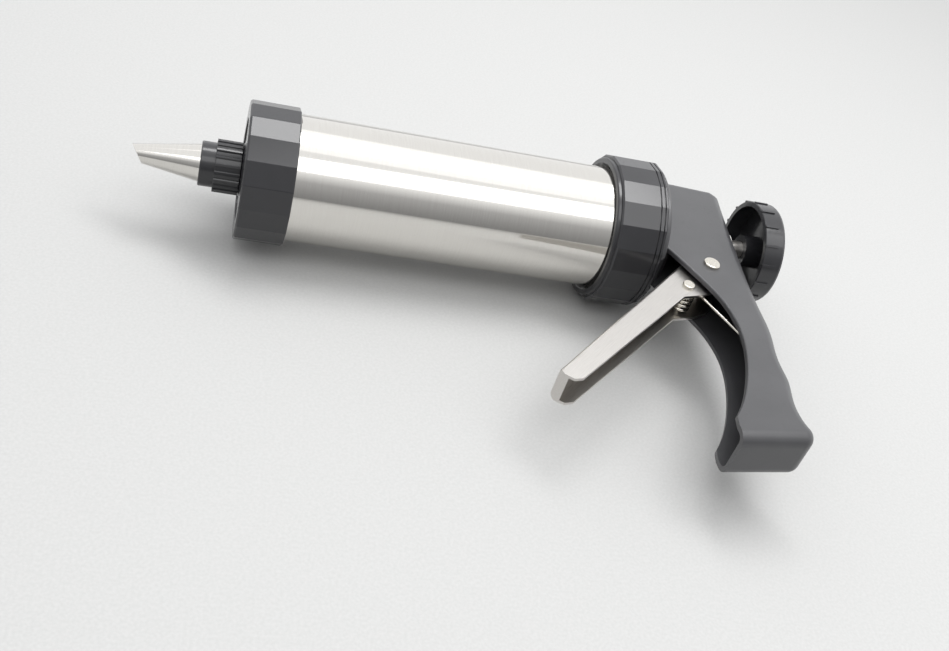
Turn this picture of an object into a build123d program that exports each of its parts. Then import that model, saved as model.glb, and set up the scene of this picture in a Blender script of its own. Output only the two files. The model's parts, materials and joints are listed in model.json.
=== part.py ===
from build123d import *
import math
import os

# Cookie press lying on its side. Millimetres. +X runs along the barrel from nozzle to knob,
# +Z is the sideways axis of the press (its mid-plane is Z = 0), -Y points to the foot of the grip.
# The origin is on the barrel axis, in the front face of the front ring.

os.makedirs("parts", exist_ok=True)

# ---- driving dimensions ----
BARREL_R = 27.0            # outside radius of the steel tube
BARREL_WALL = 0.6
BARREL_X0 = 6.85           # front end, behind the gasket
BARREL_X1 = 165.1          # rear end, in front of the grip flange
BEAD_R = 29.3              # rolled bead that the rear ring pulls on
RING_CLEAR = 0.06          # radial running clearance of both screw rings

FRONT_RING_R = 29.4        # over the corners
FRONT_RING_L = 20.7
FRONT_SIDES = 18
FRONT_PHASE = 18.2
MOUTH_R = 22.0             # opening in the front ring

REAR_RING_R = 33.2         # over the corners
REAR_X0 = 157.0            # front of the round lip
REAR_FACET_X0 = 158.6
REAR_X1 = 180.0
REAR_SIDES = 20
REAR_PHASE = -2.5
FLANGE_R = 30.0            # grip flange inside the rear ring
FLANGE_X0 = 165.2
GRIP_X0 = 180.1            # front of the grip, behind the rear ring

HALF_T = 10.9              # half thickness of the grip
CAVITY_HALF = 8.7          # half width of the channel in the grip
ROD_R = 4.0
ROD_CLEAR = 0.06
GUIDE_R = 6.5

PIVOT = (203.6, -31.0)     # trigger rivet
SPRING_PIN = (190.8, -43.7)
PAWL_PIN = (208.0, -14.6)
TRIGGER_HALF = 7.0         # half width over the trigger's side plates
SHEET = 1.2

PISTON_X0 = 16.5           # front face of the piston head
PISTON_L = 10.0
PISTON_R = 26.33

KNOB_X0 = 232.5
KNOB_X1 = 242.9
KNOB_R = 23.3
KNOB_RIBS = 16


# ---- helpers ----
FROM_END = (Align.CENTER, Align.CENTER, Align.MIN)


def x_turn(profile):
    """Solid of revolution about the barrel axis from (x, radius) corners."""
    with BuildSketch(Plane.XY) as s:
        with BuildLine():
            Polyline(*profile, close=True)
        make_face()
    return revolve(s.sketch, Axis.X, 360)


def x_rod(r, x0, x1, y=0.0, z=0.0):
    return Pos(x0, y, z) * Rot(0, 90, 0) * Cylinder(r, x1 - x0, align=FROM_END)


def z_rod(r, z0, z1, at):
    return Pos(at[0], at[1], z0) * Cylinder(r, z1 - z0, align=FROM_END)


def z_tube(r, bore, z0, z1, at):
    return z_rod(r, z0, z1, at) - z_rod(bore, z0 - 1, z1 + 1, at)


def facets(sides, radius, x0, x1, phase):
    """Faceted bar along X with a corner at the given angle from +Y."""
    shape = RegularPolygon(radius, sides, rotation=phase)
    return extrude(Plane.YZ.offset(x0) * shape, x1 - x0)


def slab(points, z0, z1):
    """Straight-sided plate in the side plane of the press."""
    with BuildSketch(Plane.XY.offset(z0)) as s:
        with BuildLine():
            Polyline(*points, close=True)
        make_face()
    return extrude(s.sketch, z1 - z0)


def x_box(x0, x1, y0, y1, z0, z1):
    return Pos((x0 + x1) / 2, (y0 + y1) / 2, (z0 + z1) / 2) * Box(x1 - x0, y1 - y0, z1 - z0)


def hexagon(across, x0, x1):
    return facets(6, across / math.sqrt(3), x0, x1, 0)


def headed_pin(at, shank_r, head_r, z_inner, z_outer, head):
    """Riveted pin across the press with a domed head at each end."""
    pin = z_rod(shank_r, -z_inner, z_inner, at)
    dome = z_rod(head_r, z_inner, z_outer, at)
    dome = fillet(dome.edges().group_by(Axis.Z)[-1], head)
    return pin + dome + mirror(dome, Plane.XY)


def save(name, shape, color):
    shape.label = name
    shape.color = Color(*color)
    export_step(shape, "parts/" + name + ".step")


BLACK = (0.03, 0.03, 0.033)
STEEL = (0.75, 0.75, 0.74)
SATIN = (0.66, 0.66, 0.65)
WHITE = (0.85, 0.85, 0.83)
GREY = (0.35, 0.35, 0.36)

# ---- barrel: thin tube, rolled thread near the front, rolled bead at the rear ----
BORE = BARREL_R - BARREL_WALL
outer = [(BARREL_X0, BARREL_R - 0.25)]
for i in range(4):
    start = BARREL_X0 + 1.0 + 3.0 * i
    outer += [(start, BARREL_R - 0.25), (start + 0.8, BARREL_R), (start + 1.4, BARREL_R)]
    outer += [(start + 2.2, BARREL_R - 0.25)]
outer += [(19.8, BARREL_R - 0.25), (20.2, BARREL_R), (163.4, BARREL_R), (163.6, BARREL_R + 0.2)]
outer += [(163.7, BEAD_R), (BARREL_X1, BEAD_R)]
barrel = x_turn(outer + [(BARREL_X1, BORE), (BARREL_X0, BORE)])
save("barrel", barrel, STEEL)

# ---- front ring ----
front_ring = facets(FRONT_SIDES, FRONT_RING_R, 0, FRONT_RING_L, FRONT_PHASE)
front_ring = chamfer(front_ring.faces().sort_by(Axis.X)[0].edges(), 0.7)
front_ring = chamfer(front_ring.faces().sort_by(Axis.X)[-1].edges(), 0.35)
front_ring -= x_rod(MOUTH_R, -1, 5)
front_ring -= x_rod(BARREL_R + RING_CLEAR, 3.5, 30)
save("front_ring", front_ring, BLACK)

# ---- nozzle adapter: clamped plate with the boss that carries the nozzle ----
adapter = x_turn([(-14.4, 6.6), (-14.4, 8.2), (-0.3, 8.2), (-0.3, 10.5), (0.6, 12.0), (0.6, 21.4),
                  (1.1, 21.9), (3.55, 21.9), (3.55, 26.4), (6.0, 26.4), (6.0, 20.0), (2.8, 15.0),
                  (0.8, 6.6)])
save("nozzle_adapter", adapter, BLACK)

gasket = x_turn([(6.0, 22.4), (6.0, 26.4), (6.8, 26.4), (6.8, 22.4)])
save("adapter_gasket", gasket, WHITE)

# ---- nozzle: thin cone with a slanted tip ----
CONE_X0 = -14.5
CONE_R0 = 8.15
TIP_X = -45.5
TIP_R = 3.2
cone = x_turn([(CONE_X0, CONE_R0 - 0.45), (CONE_X0, CONE_R0), (-15.2, CONE_R0), (TIP_X, TIP_R),
               (TIP_X, TIP_R - 0.45), (-15.2, CONE_R0 - 0.45)])
slant = Pos(-42.4, 0, 0) * Rot(50, 0, 0) * Rot(0, 0, 31) * Pos(-20, 0, 0) * Box(40, 40, 40)
nozzle = cone - slant
save("nozzle", nozzle, STEEL)

# ---- nozzle ring: smooth nose and ribbed grip ----
nozzle_ring = x_turn([(-17.0, 7.95), (-17.0, 9.1), (-16.6, 9.4), (-11.0, 9.4), (-11.0, 10.2), (-10.7, 10.4),
                      (-0.7, 10.4), (-0.4, 10.1), (-0.4, 8.27), (-15.15, 8.27)])
for k in range(20):
    rib = x_box(-10.9, -0.6, -0.75, 0.75, 9.8, 11.05)
    rib = chamfer(rib.edges().filter_by(Axis.X).group_by(Axis.Z)[-1], 0.35)
    nozzle_ring += Rot(18 * k, 0, 0) * rib
save("nozzle_ring", nozzle_ring, BLACK)

# ---- rear ring: facets with two shallow grooves behind, round lip with a flared mouth in front ----
rear_ring = facets(REAR_SIDES, REAR_RING_R, REAR_FACET_X0, REAR_X1, REAR_PHASE)
rear_ring = chamfer(rear_ring.faces().sort_by(Axis.X)[0].edges(), 0.7)
rear_ring = chamfer(rear_ring.faces().sort_by(Axis.X)[-1].edges(), 0.4)
for groove_x in (176.2, 178.2):
    rear_ring -= x_rod(40.0, groove_x, groove_x + 0.5) - x_rod(32.4, groove_x, groove_x + 0.5)
rear_ring += x_turn([(REAR_X0, 26.0), (REAR_X0, 30.9), (REAR_X0 + 0.4, 31.4), (REAR_X0 + 2, 31.6),
                     (REAR_X0 + 2, 26.0)])
rear_ring -= x_rod(BARREL_R + RING_CLEAR, REAR_X0 - 1, 170)
rear_ring -= x_turn([(REAR_X0, 20.0), (REAR_X0, 29.0), (REAR_X0 + 2.4, BARREL_R), (REAR_X0 + 2.4, 20.0)])
rear_ring -= x_rod(FLANGE_R + RING_CLEAR, 163.45, REAR_X1 + 5)
save("rear_ring", rear_ring, BLACK)

# ---- grip ----
FOOT_TILT = math.radians(7.0)      # slope of the foot face
FOOT_INNER = (186.7, -136.8)
FOOT_LENGTH = 28.0                 # along X, to the start of the round outer corner
FOOT_OUTER = (FOOT_INNER[0] + FOOT_LENGTH, FOOT_INNER[1] + FOOT_LENGTH * math.tan(FOOT_TILT))
INNER_EDGE = [(184.3, -22.9), (188.8, -29.9), (193.0, -37.3), (197.3, -45.2), (200.9, -53.0),
              (203.2, -61.0), (204.3, -69.0), (204.2, -77.0), (202.9, -86.0), (200.1, -97.0),
              (195.9, -108.6), (191.2, -118.2), (187.0, -124.6)]
REAR_EDGE = [(219.2, -126.0), (217.5, -120.0), (217.3, -113.0), (218.3, -106.0), (219.2, -99.8),
             (219.0, -94.0), (218.9, -88.0), (219.4, -82.0), (220.5, -75.0), (221.1, -67.0),
             (220.9, -58.0), (220.8, -46.0), (221.3, -32.0), (222.2, -17.0), (223.8, 8.0),
             (225.5, 27.2)]
with BuildSketch(Plane.XY.offset(-HALF_T)) as side:
    with BuildLine():
        Polyline((225.5, 27.2), (221.6, 31.9), (199.0, 33.4), (GRIP_X0, 33.4), (GRIP_X0, -15.8),
                 (184.3, -22.9))
        Spline(*INNER_EDGE)
        Polyline(INNER_EDGE[-1], (186.3, -129.5), FOOT_INNER, FOOT_OUTER)
        TangentArc(FOOT_OUTER, REAR_EDGE[0], tangent=(math.cos(FOOT_TILT), math.sin(FOOT_TILT)))
        Spline(*REAR_EDGE)
    make_face()
body = extrude(side.sketch, 2 * HALF_T)
upright = [e for e in body.edges().filter_by(Axis.Z) if e.center().Y > 20 and e.center().X > 215]
body = fillet(upright, 2.6)
flat_rim = [e for e in body.edges() if abs(abs(e.center().Z) - HALF_T) < 1e-4]
toe = [e for e in flat_rim if e.center().Y < -129.6 and e.center().X > 188]
body = fillet(toe, 5.2)
rim = [e for e in body.edges() if abs(abs(e.center().Z) - HALF_T) < 1e-4 and e.center().X > 180]
rim = [e for e in rim if e.geom_type != GeomType.LINE or e.center().Y > -123]
rim = [e for e in rim if e.center().Y > -123]
body = fillet(rim, 0.8)

flange = [(FLANGE_X0, 24.8), (FLANGE_X0, 29.6)]
for i in range(4):
    start = FLANGE_X0 + 1.2 + 3.0 * i
    flange += [(start, 29.6), (start + 0.6, FLANGE_R), (start + 1.3, FLANGE_R), (start + 1.9, 29.6)]
flange += [(REAR_X1 + 0.05, 29.6), (REAR_X1 + 0.05, 31.4), (181.4, 31.4), (181.9, 30.2), (183.0, 29.4),
           (183.4, 27.0), (184.2, 26.2), (184.2, 0), (172.0, 0), (172.0, 24.8)]
body += x_turn(flange)

FOOT_WALL = 2.2
floor_y = FOOT_INNER[1] + FOOT_WALL
CHANNEL_TOE = (215.4, floor_y + (215.4 - FOOT_INNER[0]) * math.tan(FOOT_TILT))
CHANNEL_HEEL = (170.0, floor_y + (170.0 - FOOT_INNER[0]) * math.tan(FOOT_TILT))
CHANNEL_REAR = [CHANNEL_TOE, (214.8, -121.5), (214.8, -113.0), (216.0, -102.0), (216.4, -91.0),
                (217.3, -78.0), (218.1, -62.0), (218.2, -42.0), (219.2, -17.0), (219.8, 9.5)]
with BuildSketch(Plane.XY.offset(-CAVITY_HALF)) as channel:
    with BuildLine():
        Polyline((219.8, 9.5), (189.6, 9.5), (189.6, -18.5), (186.2, -22.4), (176.0, -26.0),
                 (150.0, -60.0), CHANNEL_HEEL, CHANNEL_TOE)
        Spline(*CHANNEL_REAR)
    make_face()
hollow = extrude(channel.sketch, 2 * CAVITY_HALF)
floor_edges = hollow.faces().sort_by(Axis.Y)[0].edges().filter_by(GeomType.LINE)
floor_edges = [e for e in floor_edges if abs(e.center().Z) > CAVITY_HALF - 0.01]
hollow = fillet(floor_edges, 3.0)
body -= hollow
body -= x_rod(GUIDE_R, 160, 240)
body -= z_rod(2.53, -20, 20, PIVOT)
save("handle", body, BLACK)

# ---- guide bushes for the rod ----
front_guide = x_rod(GUIDE_R, 172.0, 189.6) + x_rod(8.4, 189.6, 191.0)
front_guide -= x_rod(ROD_R + ROD_CLEAR, 150, 240)
save("front_rod_guide", front_guide, WHITE)
rear_guide = x_rod(GUIDE_R, 216.4, 224.4)
rear_guide -= x_rod(ROD_R + ROD_CLEAR, 150, 240)
save("rear_rod_guide", rear_guide, WHITE)

# ---- trigger: folded sheet channel with ears that carry the pawl ----
PLATE = [(121.6, -106.7), (186.2, -34.0), (193.5, -25.8), (199.5, -17.5), (203.2, -11.8), (206.8, -9.6),
         (210.6, -10.2), (212.9, -13.6), (212.7, -20.0), (211.2, -30.0), (209.4, -37.6), (204.6, -44.2),
         (196.7, -48.7), (186.7, -51.8), (135.8, -104.7), (130.0, -110.7), (126.4, -111.7), (122.6, -109.6)]
trigger = slab(PLATE, -TRIGGER_HALF, TRIGGER_HALF)
along = (0.6642, 0.7476)
across = (0.7476, -0.6642)
below_tip = (186.2 - along[0] * 120, -34.0 - along[1] * 120, 0)
fold_plane = Plane(origin=below_tip, x_dir=(*across, 0), z_dir=(*along, 0))
folded = Pos(40, 0) * Rectangle(80, 2 * TRIGGER_HALF)
folded = fillet(folded.vertices().group_by(Axis.X)[0], 1.6)
trigger = trigger & extrude(fold_plane * folded, 180)
web_top = (186.6, -33.6)
depth = [(web_top[0] + across[0] * SHEET, web_top[1] + across[1] * SHEET)]
depth += [(depth[0][0] - along[0] * 95.2, depth[0][1] - along[1] * 95.2)]
inside = [depth[0], (189.6, -29.2), (183.0, -24.0), (196.0, 0.0), (225.0, 0.0), (225.0, -60.0),
          (150.0, -125.0), (124.5, -122.0), depth[1]]
trigger -= slab(inside, -TRIGGER_HALF + SHEET, TRIGGER_HALF - SHEET)
trigger -= z_rod(2.53, -20, 20, PIVOT)
trigger -= z_rod(1.75, -20, 20, SPRING_PIN)
trigger -= z_rod(1.5, -20, 20, PAWL_PIN)
save("trigger", trigger, SATIN)

# ---- pins ----
rivet = headed_pin(PIVOT, 2.5, 3.75, HALF_T, HALF_T + 1.3, 0.6)
save("trigger_rivet", rivet, STEEL)
washers = [z_tube(5.0, 2.53, s * 7.85 - 0.75, s * 7.85 + 0.75, PIVOT) for s in (-1, 1)]
save("rivet_washers", Compound(children=washers), WHITE)
spring_pin = headed_pin(SPRING_PIN, 1.75, 2.8, TRIGGER_HALF, TRIGGER_HALF + 1.2, 0.5)
save("spring_pin", spring_pin, STEEL)
pawl_pin = headed_pin(PAWL_PIN, 1.5, 2.4, TRIGGER_HALF, TRIGGER_HALF + 0.8, 0.35)
save("pawl_pin", pawl_pin, STEEL)

# ---- return spring on its pin, one leg on the web, one along the grip ----
WIRE_R = 0.6
COIL_R = 3.9
SPRING_Z0 = -5.0
SPRING_Z1 = 4.6
LEG_WEB_END = (168.9, -57.3)
LEG_GRIP_END = (214.0, -84.6)


def wire_through(points, radius):
    """Round wire swept through a list of points."""
    path = Spline(*points)
    section = Plane(origin=path @ 0, z_dir=path % 0) * Circle(radius)
    return sweep(section, path=path)


def around(centre, radius, degrees, z):
    a = math.radians(degrees)
    return (centre[0] + radius * math.cos(a), centre[1] + radius * math.sin(a), z)


def between(p, q, steps):
    """Points strictly between two places on a straight leg."""
    return [tuple(p[k] + (q[k] - p[k]) * i / steps for k in range(3)) for i in range(1, steps)]


A_START = 130.4
A_END = 25.0 - 4 * 360
first = around(SPRING_PIN, COIL_R, A_START, SPRING_Z0)
last = around(SPRING_PIN, COIL_R, A_END, SPRING_Z1)
web_end = (*LEG_WEB_END, SPRING_Z0)
knee = (last[0] + 4.2, last[1] - 9.07, 4.9)
spring_pts = [web_end] + between(web_end, first, 8) + [first]
for i in range(1, 104):
    t = i / 104
    spring_pts.append(around(SPRING_PIN, COIL_R, A_START + (A_END - A_START) * t, SPRING_Z0
                             + (SPRING_Z1 - SPRING_Z0) * t))
spring_pts += [last] + between(last, knee, 3) + [knee] + between(knee, (*LEG_GRIP_END, 6.6), 8)
spring_pts += [(*LEG_GRIP_END, 6.6)]
save("return_spring", wire_through(spring_pts, WIRE_R), STEEL)

# ---- plunger rod with ratchet teeth towards the trigger ----
ROD_X0 = 13.6
ROD_X1 = 240.6
TOOTH = 4.0
TOOTH_ROOT = -2.2
TOOTH_CREST = -3.6
rod = x_rod(ROD_R, ROD_X0, ROD_X1)
rod = chamfer(rod.edges().group_by(Axis.X)[-1], 0.4)
for i in range(47):
    face = 40.0 + TOOTH * i
    back = face + TOOTH - 0.6
    rod -= slab([(face, TOOTH_ROOT), (face, -5.0), (back, -5.0), (back, TOOTH_CREST)], -5, 5)
rod -= x_rod(2.05, KNOB_X1 - 10, KNOB_X1)
save("plunger_rod", rod, SATIN)

# ---- piston group ----
piston = x_turn([(PISTON_X0, 4.06), (PISTON_X0, 25.4), (PISTON_X0 + 0.8, PISTON_R),
                 (PISTON_X0 + 2.6, PISTON_R), (PISTON_X0 + 2.6, 23.6), (PISTON_X0 + 6.6, 23.6),
                 (PISTON_X0 + 6.6, PISTON_R), (PISTON_X0 + 8.6, PISTON_R), (PISTON_X0 + 8.6, 24.0),
                 (PISTON_X0 + 3.5, 22.0), (PISTON_X0 + 3.5, 9.0), (PISTON_X0 + PISTON_L, 8.0),
                 (PISTON_X0 + PISTON_L, 4.06)])
save("piston", piston, WHITE)
seal = x_turn([(PISTON_X0 + 2.65, 23.65), (PISTON_X0 + 2.65, 26.0), (PISTON_X0 + 3.4, 26.36),
               (PISTON_X0 + 5.8, 26.36), (PISTON_X0 + 6.55, 26.0), (PISTON_X0 + 6.55, 23.65)])
save("piston_seal", seal, GREY)
washer = x_rod(8.0, PISTON_X0 + PISTON_L + 0.05, PISTON_X0 + PISTON_L + 1.25)
washer -= x_rod(4.06, 0, 60)
save("piston_washer", washer, STEEL)
nut = hexagon(13.0, PISTON_X0 - 3.9, PISTON_X0 - 0.05)
nut = nut - x_rod(4.06, PISTON_X0 - 2.95, PISTON_X0 + 1)
save("piston_nut", nut, STEEL)

# ---- knob: cup open towards the grip, with hub, screw and finger ribs ----
knob = x_turn([(KNOB_X0, KNOB_R - 2.4), (KNOB_X0, KNOB_R - 0.3), (KNOB_X0 + 0.3, KNOB_R),
               (KNOB_X1 - 1.6, KNOB_R), (KNOB_X1 - 0.6, KNOB_R - 0.5), (KNOB_X1, KNOB_R - 1.6),
               (KNOB_X1, 5.2), (KNOB_X1 - 1.2, 5.2), (KNOB_X1 - 1.2, 2.1), (ROD_X1 + 0.05, 2.1),
               (ROD_X1 + 0.05, 4.0), (231.4, 4.0), (231.4, 7.2), (KNOB_X1 - 2.6, 7.6),
               (KNOB_X1 - 2.6, KNOB_R - 2.4)])
for k in range(KNOB_RIBS):
    rib = x_box(KNOB_X0, KNOB_X0 + 6.4, -0.55, 0.55, KNOB_R - 0.8, KNOB_R + 0.55)
    knob += Rot(1.5 + 360 / KNOB_RIBS * k, 0, 0) * rib
save("knob", knob, BLACK)
screw = x_rod(4.6, KNOB_X1 - 1.15, KNOB_X1 + 0.4) + x_rod(2.05, KNOB_X1 - 10, KNOB_X1 - 1.15)
screw = screw - x_box(KNOB_X1 - 0.5, KNOB_X1 + 1, -6, 6, -0.5, 0.5)
save("knob_screw", screw, STEEL)

# ---- drive pawl and its spring ----
PAWL_HALF = 2.4
pawl_side = [(205.2, -17.0), (208.0, -18.4), (211.0, -16.6), (211.2, -13.6), (209.0, -10.8), (206.4, -7.6),
             (204.9, -4.9), (203.6, -4.9), (203.4, -8.6), (204.6, -12.6)]
pawl = slab(pawl_side, -PAWL_HALF, PAWL_HALF)
pawl = pawl - z_rod(1.55, -9, 9, PAWL_PIN)
save("drive_pawl", pawl, GREY)
pawl_pts = []
for i in range(61):
    a = 2 * math.pi * 2.5 * i / 60
    pawl_pts.append((PAWL_PIN[0] + 2.5 * math.cos(a), PAWL_PIN[1] + 2.5 * math.sin(a), 2.95 + 2.3 * i / 60))
pawl_spring = wire_through(pawl_pts, 0.35)
save("pawl_spring", pawl_spring, STEEL)
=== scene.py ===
"""Cookie press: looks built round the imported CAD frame. Metres, +X nozzle to knob, +Z up."""

import json
import math

import bmesh
import bpy
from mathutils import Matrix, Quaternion, Vector


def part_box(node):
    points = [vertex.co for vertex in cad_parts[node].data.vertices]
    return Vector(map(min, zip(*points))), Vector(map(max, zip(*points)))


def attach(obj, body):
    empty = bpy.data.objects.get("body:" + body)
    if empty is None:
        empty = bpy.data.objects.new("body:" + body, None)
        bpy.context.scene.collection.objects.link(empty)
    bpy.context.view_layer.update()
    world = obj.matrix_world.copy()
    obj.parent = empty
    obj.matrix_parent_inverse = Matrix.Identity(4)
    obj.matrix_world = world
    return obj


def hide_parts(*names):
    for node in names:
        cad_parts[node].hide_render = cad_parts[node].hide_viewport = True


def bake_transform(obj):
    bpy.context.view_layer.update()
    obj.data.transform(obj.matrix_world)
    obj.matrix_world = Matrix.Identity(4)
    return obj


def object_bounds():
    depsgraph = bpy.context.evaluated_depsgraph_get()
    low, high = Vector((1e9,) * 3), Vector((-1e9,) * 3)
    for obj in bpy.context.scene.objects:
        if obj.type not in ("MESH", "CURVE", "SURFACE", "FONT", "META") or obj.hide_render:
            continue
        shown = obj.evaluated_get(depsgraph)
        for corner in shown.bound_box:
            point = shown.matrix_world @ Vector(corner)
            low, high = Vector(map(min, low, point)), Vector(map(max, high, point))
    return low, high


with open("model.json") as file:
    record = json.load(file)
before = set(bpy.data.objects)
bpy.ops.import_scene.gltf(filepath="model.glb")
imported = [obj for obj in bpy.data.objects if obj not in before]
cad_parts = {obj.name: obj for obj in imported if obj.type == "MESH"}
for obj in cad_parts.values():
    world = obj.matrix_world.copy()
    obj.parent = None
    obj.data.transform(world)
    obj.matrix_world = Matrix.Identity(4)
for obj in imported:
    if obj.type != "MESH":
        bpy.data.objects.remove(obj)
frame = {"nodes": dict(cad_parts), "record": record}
cad_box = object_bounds()
MM = 0.001
PLASTIC_IOR = 1.5
FLOW_CLOUDS = 45.0       # noise cells per metre: clouds about 22 mm across
RUB_SPOTS = 420.0        # spots about 2.4 mm across
RUB_DULLING = 0.10       # how much rougher a rubbed spot is
WIPING_MARKS = 38.0      # marks about 26 mm across on metal
WIPING_SHARE = 0.25      # how much the wiping marks add to the tool lines


# ---------------------------------------------------------------- materials
def linear(hexa):
    """sRGB hex to linear RGBA."""
    out = []
    for k in (1, 3, 5):
        c = int(hexa[k:k + 2], 16) / 255
        out.append(c / 12.92 if c <= 0.04045 else ((c + 0.055) / 1.055) ** 2.4)
    return (*out, 1.0)


def add(tree, kind, values=None, links=None, **settings):
    """Adds a node, with its settings, its socket values and its incoming links."""
    node = tree.nodes.new(kind)
    for key, value in settings.items():
        setattr(node, key, value)
    for key, value in (values or {}).items():
        node.inputs[key].default_value = value
    for key, source in (links or {}).items():
        tree.links.new(source, node.inputs[key])
    return node


def shader(name, **values):
    """A new material with one Principled shader; returns material, tree, shader."""
    mat = bpy.data.materials.new(name)
    mat.use_nodes = True
    tree = mat.node_tree
    tree.nodes.clear()
    bsdf = add(tree, "ShaderNodeBsdfPrincipled", values)
    add(tree, "ShaderNodeOutputMaterial", links={"Surface": bsdf.outputs[0]})
    return mat, tree, bsdf


def placed(tree, scale=(1, 1, 1), turn=(0, 0, 0)):
    """Object coordinates in metres, turned and then stretched for a pattern."""
    coord = add(tree, "ShaderNodeTexCoord")
    turned = add(tree, "ShaderNodeMapping", {"Rotation": turn}, {"Vector": coord.outputs["Object"]})
    return add(tree, "ShaderNodeMapping", {"Scale": scale}, {"Vector": turned.outputs[0]}).outputs[0]


def two_tone(tree, source, dark, light, low=0.3, high=0.7):
    """A colour ramp between two sRGB colours."""
    ramp = add(tree, "ShaderNodeValToRGB", links={"Fac": source})
    first, last = ramp.color_ramp.elements
    first.color, first.position = linear(dark), low
    last.color, last.position = linear(light), high
    return ramp.outputs["Color"]


def moulded_plastic(name, dark, light, rough, grain_mm, depth_mm, skin=0.0, skin_rough=0.2):
    """Injection-moulded plastic: faint flow clouds, spark-eroded grain, sparse rubbed spots from handling.
    skin is the clear gloss that a polished mould leaves over the duller body of the plastic."""
    mat, tree, bsdf = shader(name, **{
        "IOR": PLASTIC_IOR,
        "Specular IOR Level": 0.5 - 0.35 * skin,
        "Coat Weight": skin,
        "Coat Roughness": skin_rough,
        "Coat IOR": PLASTIC_IOR,
    })
    where = placed(tree)
    clouds = add(tree, "ShaderNodeTexNoise", {"Scale": FLOW_CLOUDS, "Detail": 3.0}, {"Vector": where})
    tree.links.new(two_tone(tree, clouds.outputs["Fac"], dark, light), bsdf.inputs["Base Color"])
    rubs = add(tree, "ShaderNodeTexNoise", {"Scale": RUB_SPOTS, "Detail": 5.0, "Roughness": 0.7},
               {"Vector": where})
    spots = add(tree, "ShaderNodeMapRange",
                {"From Min": 0.56, "From Max": 0.72, "To Min": rough, "To Max": rough + RUB_DULLING},
                {"Value": rubs.outputs["Fac"]})
    uneven = add(tree, "ShaderNodeMath", {1: 0.08},
                 {0: clouds.outputs["Fac"], 2: spots.outputs["Result"]}, operation="MULTIPLY_ADD")
    tree.links.new(uneven.outputs[0], bsdf.inputs["Roughness"])
    grain = add(tree, "ShaderNodeTexNoise", {"Scale": 1 / (grain_mm * MM), "Detail": 2.0}, {"Vector": where})
    bump = add(tree, "ShaderNodeBump", {"Strength": 0.35, "Distance": depth_mm * MM},
               {"Height": grain.outputs["Fac"]})
    tree.links.new(bump.outputs["Normal"], bsdf.inputs["Normal"])
    return mat


def worked_metal(name, low, high, rough, line_mm, stretch, turn, depth_mm, spread=0.35):
    """Metal with fine tool lines, line_mm across and stretched along them, and faint wiping marks.
    spread is how far the roughness varies to each side of rough, as a share of it."""
    mat, tree, bsdf = shader(name, Metallic=1.0)
    where = placed(tree, stretch, turn)
    lines = add(tree, "ShaderNodeTexNoise", {"Scale": 1 / (line_mm * MM), "Detail": 4.0, "Roughness": 0.65},
                {"Vector": where})
    tree.links.new(two_tone(tree, lines.outputs["Fac"], low, high), bsdf.inputs["Base Color"])
    wiped = add(tree, "ShaderNodeTexNoise", {"Scale": WIPING_MARKS, "Detail": 4.0, "Distortion": 0.6},
                {"Vector": placed(tree)})
    mixed = add(tree, "ShaderNodeMath", {1: WIPING_SHARE}, {0: wiped.outputs["Fac"], 2: lines.outputs["Fac"]},
                operation="MULTIPLY_ADD")
    uneven = add(tree, "ShaderNodeMapRange", {"From Max": 1.0 + WIPING_SHARE, "To Min": rough * (1 - spread),
                                              "To Max": rough * (1 + spread)},
                 {"Value": mixed.outputs[0]})
    tree.links.new(uneven.outputs["Result"], bsdf.inputs["Roughness"])
    bump = add(tree, "ShaderNodeBump", {"Strength": 0.25, "Distance": depth_mm * MM},
               {"Height": lines.outputs["Fac"]})
    tree.links.new(bump.outputs["Normal"], bsdf.inputs["Normal"])
    return mat


TRIGGER_SLOPE = math.radians(48.4)
M = {
    # polypropylene from a fine-eroded mould: charcoal rather than jet, soft broad sheen
    "black_plastic": moulded_plastic("pp_charcoal_satin_moulded", "#3a3a3c", "#424244", 0.44,
                                     0.35, 0.008, skin=0.6, skin_rough=0.27),
    # ABS from a polished mould: deeper black with a clear but softened reflection
    "black_gloss": moulded_plastic("abs_black_polished_mould", "#1c1c1f", "#232326", 0.46,
                                   0.5, 0.003, skin=0.85, skin_rough=0.15),
    # buffed stainless tube: near mirror, hairlines round it, a little warm
    "polished_steel": worked_metal("stainless_tube_buffed", "#d4d1cc", "#d9d7d2", 0.085, 0.45,
                                   (1, 0.03, 0.03), (0, 0, 0), 0.0004, spread=0.2),
    # sheet stainless brushed along its length: pale and soft, no clear picture in it
    "brushed_steel": worked_metal("stainless_sheet_brushed", "#bdbab6", "#cbc8c4", 0.31, 0.25,
                                  (0.03, 1, 1), (0, 0, -TRIGGER_SLOPE), 0.005),
    # nickel-plated steel: bright with a slight warm cast
    "bright_steel": worked_metal("steel_nickel_plated", "#cfcbc2", "#e0dcd2", 0.13, 0.6,
                                 (1, 1, 1), (0, 0, 0), 0.001),
    # acetal: milky white, waxy, faint sheen
    "white_plastic": moulded_plastic("acetal_white_moulded", "#d9d9d4", "#e4e4df", 0.42, 0.4, 0.006),
    # silicone rubber: dull pale grey
    "silicone": moulded_plastic("silicone_grey_moulded", "#bcbcb8", "#c8c8c4", 0.55, 0.4, 0.006),
    # hardened steel left black from quenching: dark with a dull metallic edge
    "pawl_steel": worked_metal("steel_quench_blackened", "#55555a", "#68686d", 0.35, 0.4,
                               (1, 1, 1), (0, 0, 0), 0.003),
}
SLOT = {s["node"]: s["material_slot"] for s in frame["record"]["subparts"]}
BODY = {node: body for body, nodes in frame["record"]["behaviour"]["bodies"].items() for node in nodes}
for node, obj in frame["nodes"].items():
    obj.data.materials.clear()
    obj.data.materials.append(M[SLOT[node]])


# ---------------------------------------------------------------- pieces
BARREL_STEPS = 192       # sides of a turned circle
NOZZLE_STEPS = 96
MERGE = 2e-6             # metres between corners that are one corner


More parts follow.
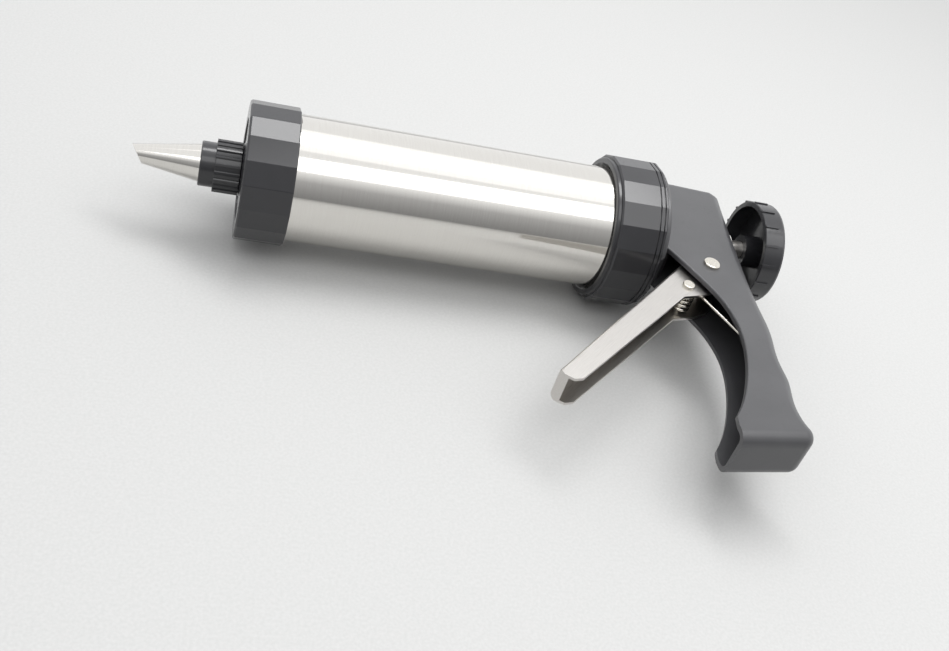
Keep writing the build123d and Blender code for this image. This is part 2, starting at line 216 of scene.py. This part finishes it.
def shown(name, bm, node, sharp_deg=32, edge_mm=0.0, steps=3, flexes=None):
    """Makes the bmesh a piece that stands for its CAD node and moves with its body. When flexes is given, the
    piece instead keeps its transform baked in and rides no body; the bodies and points in flexes are not
    used."""
    mesh = bpy.data.meshes.new(name)
    bm.to_mesh(mesh)
    bm.free()
    mesh.shade_smooth()
    mesh.set_sharp_from_angle(angle=math.radians(sharp_deg))
    mesh.materials.append(M[SLOT[node]])
    piece = bpy.data.objects.new(name, mesh)
    bpy.context.scene.collection.objects.link(piece)
    if edge_mm:
        rounding = piece.modifiers.new("edge_rounding", "BEVEL")
        rounding.width = edge_mm * MM
        rounding.segments = steps
        rounding.limit_method = "ANGLE"
        rounding.angle_limit = math.radians(sharp_deg)
        rounding.use_clamp_overlap = True
        flatness = piece.modifiers.new("flat_faces_shade_flat", "WEIGHTED_NORMAL")
        flatness.keep_sharp = True
    if flexes:
        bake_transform(piece)
    else:
        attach(piece, BODY[node])
    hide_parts(node)
    return piece


def turned(outline, steps):
    """A closed outline of (x, radius) in mm spun about the barrel axis."""
    bm = bmesh.new()
    corners = [bm.verts.new((x * MM, 0, r * MM)) for x, r in outline]
    edges = [bm.edges.new((corners[i - 1], corners[i])) for i in range(len(corners))]
    bmesh.ops.spin(bm, geom=corners + edges, axis=(1, 0, 0), cent=(0, 0, 0), angle=2 * math.pi,
                   steps=steps, use_merge=True)
    bmesh.ops.remove_doubles(bm, verts=bm.verts, dist=1e-7)
    bmesh.ops.recalc_face_normals(bm, faces=bm.faces)
    return bm


def from_frame(node, flat_deg=0.6):
    """A merged copy of a CAD node's mesh, with its flat faces made whole."""
    bm = bmesh.new()
    bm.from_mesh(frame["nodes"][node].data)
    bmesh.ops.remove_doubles(bm, verts=bm.verts, dist=MERGE)
    bmesh.ops.dissolve_limit(bm, angle_limit=math.radians(flat_deg), verts=bm.verts, edges=bm.edges)
    return bm


# barrel: buffed thin tube, with the rolled bead that the rear ring pulls on
low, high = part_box("barrel")
front, back, bead = low.x / MM, high.x / MM, high.z / MM
tube, bore = 27.0, 26.4            # radii
spigot, spigot_length = 26.75, 13  # slightly smaller end inside the front ring
outside = [(front, spigot), (front + spigot_length, spigot), (front + spigot_length + 0.4, tube),
           (back - 2.0, tube), (back - 1.6, tube + 0.15), (back - 1.42, tube + 0.6)]
rolled_bead = [(back - 1.38, bead - 0.7), (back - 1.15, bead - 0.15), (back - 0.8, bead),
               (back - 0.3, bead - 0.05), (back, bead - 0.4)]
inside = [(back, bore + 0.2), (back - 0.2, bore), (front + 0.2, bore), (front, bore + 0.2)]
shown("barrel_tube", turned(outside + rolled_bead + inside, BARREL_STEPS), "barrel")

# nozzle: thin cone with its tip cut on a slant
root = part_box("nozzle")[1]
root_x, root_r = root.x / MM, root.z / MM
tip_x, tip_r, sheet, rim_length = -45.5, 3.2, 0.45, 0.7
bm = turned([(root_x, root_r - sheet), (root_x, root_r), (root_x - rim_length, root_r), (tip_x, tip_r),
             (tip_x, tip_r - sheet), (root_x - rim_length, root_r - sheet)], NOZZLE_STEPS)
cut_x = -42.4                                        # where the slanted cut crosses the axis
roll, slant = math.radians(50), math.radians(31)     # about the axis, and away from square
cut_side = Vector((-math.cos(slant), -math.sin(slant) * math.cos(roll),
                   -math.sin(slant) * math.sin(roll)))
cut = bmesh.ops.bisect_plane(bm, geom=bm.verts[:] + bm.edges[:] + bm.faces[:],
                             plane_co=(cut_x * MM, 0, 0), plane_no=cut_side, clear_outer=True)
rim = [e for e in cut["geom_cut"] if isinstance(e, bmesh.types.BMEdge)]
bmesh.ops.bridge_loops(bm, edges=rim)
bmesh.ops.recalc_face_normals(bm, faces=bm.faces)
shown("nozzle_cone", bm, "nozzle", edge_mm=0.1, steps=2)

# mouldings and sheet parts: the frame's shapes with their edges softened as the mould or press leaves them
for name, node, sharp_deg, edge_mm, steps in (
        ("front_ring_shell", "front_ring", 12, 0.35, 3),
        ("rear_ring_shell", "rear_ring", 12, 0.30, 3),
        ("nozzle_collar", "nozzle_ring", 25, 0.18, 2),
        ("adapter_boss", "nozzle_adapter", 25, 0.20, 2),
        ("grip_moulding", "handle", 30, 0.35, 3),
        ("trigger_sheet", "trigger", 30, 0.22, 3),
        ("knob_moulding", "knob", 25, 0.25, 3)):
    shown(name, from_frame(node), node, sharp_deg, edge_mm, steps)

# return spring: on the press its coil goes with the trigger and its long leg stays put in the grip; here the
# piece is baked in place, rides no body, and nothing flexes it
leg_start, leg_end = (196.5 * MM, -47.0 * MM, 4.8 * MM), (214.0 * MM, -84.6 * MM, 6.6 * MM)
shown("return_spring_wire", from_frame("return_spring"), "return_spring", 60,
      flexes=("trigger", "grip", leg_start, leg_end))


# ---------------------------------------------------------------- floor, light, camera
CENTRE = Vector((0.1, -0.03, 0.0))
FLOOR_REACH = 20.0       # metres from the middle to an edge
FLOOR_GAP = 0.0003       # keeps the floor's face clear of the lowest piece
FLOOR_SPECKLE = 900.0    # specks about 1 mm across
mat, tree, bsdf = shader("table_matt_pale", Roughness=0.8)
speckle = add(tree, "ShaderNodeTexNoise", {"Scale": FLOOR_SPECKLE, "Detail": 2.0}, {"Vector": placed(tree)})
tree.links.new(two_tone(tree, speckle.outputs["Fac"], "#acacab", "#b2b2b1"), bsdf.inputs["Base Color"])
bm = bmesh.new()
bmesh.ops.create_grid(bm, x_segments=1, y_segments=1, size=FLOOR_REACH)
bmesh.ops.translate(bm, vec=(CENTRE.x, 0, cad_box[0].z - FLOOR_GAP), verts=bm.verts)
floor_mesh = bpy.data.meshes.new("floor")
bm.to_mesh(floor_mesh)
bm.free()
floor_mesh.materials.append(mat)
floor = bpy.data.objects.new("floor", floor_mesh)
bpy.context.scene.collection.objects.link(floor)


def softbox(name, place, size, brightness):
    """A white rectangular light aimed at the press; brightness is its radiance, so power follows size."""
    data = bpy.data.lights.new(name, "AREA")
    data.shape = "RECTANGLE"
    data.size, data.size_y = size
    data.energy = brightness * math.pi * size[0] * size[1]
    light = bpy.data.objects.new(name, data)
    light.location = place
    light.rotation_mode = "QUATERNION"
    light.rotation_quaternion = (CENTRE - Vector(place)).to_track_quat("-Z", "Y")
    bpy.context.scene.collection.objects.link(light)


softbox("overhead_strip", (0.30, 0.19, 1.0), (0.9, 0.34), 8.2)
softbox("overhead_glow", (0.30, 0.15, 1.05), (1.4, 0.66), 0.35)
softbox("front_glow", (0.25, -0.50, 0.92), (1.4, 0.44), 1.8)

# the room: bright above and behind, darker low in front
BRIGHT_SIDE = (0.0, 0.64, 0.77)                  # towards the middle of the bright part
ROOM_GREYS = ((0.15, 0.22), (0.29, 0.34), (0.41, 0.46), (0.56, 1.0))
ROOM_STRENGTH = 1.17
world = bpy.data.worlds.new("studio")
world.use_nodes = True
room = world.node_tree
facing = add(room, "ShaderNodeTexCoord")
lift = add(room, "ShaderNodeVectorMath", {1: BRIGHT_SIDE}, {0: facing.outputs["Generated"]},
           operation="DOT_PRODUCT")
height = add(room, "ShaderNodeMapRange", {"From Min": -1.0}, {"Value": lift.outputs["Value"]})
level = add(room, "ShaderNodeValToRGB", links={"Fac": height.outputs["Result"]})
while len(level.color_ramp.elements) < len(ROOM_GREYS):
    level.color_ramp.elements.new(0.5)
for stop, (where, grey) in zip(level.color_ramp.elements, ROOM_GREYS):
    stop.position = where
    stop.color = (grey * 0.985, grey * 0.99, grey, 1.0)
backdrop = room.nodes["Background"]
backdrop.inputs["Strength"].default_value = ROOM_STRENGTH
room.links.new(level.outputs["Color"], backdrop.inputs["Color"])
bpy.context.scene.world = world
bpy.context.scene.view_settings.view_transform = "Standard"

CAMERA_PLACE = (-0.01549, -0.40020, 0.26761)
CAMERA_GAZE = Vector((0.25162, 0.74198, -0.62141))
CAMERA_ROLL = math.radians(19.541)
camera_data = bpy.data.cameras.new("camera")
camera_data.lens = 42.33
camera_data.sensor_width = 36.0
camera_data.clip_start = 0.01
camera = bpy.data.objects.new("camera", camera_data)
camera.location = CAMERA_PLACE
camera.rotation_mode = "QUATERNION"
level_view = CAMERA_GAZE.to_track_quat("-Z", "Y")
camera.rotation_quaternion = level_view @ Quaternion((0, 0, 1), CAMERA_ROLL)
bpy.context.scene.collection.objects.link(camera)
bpy.context.scene.camera = camera
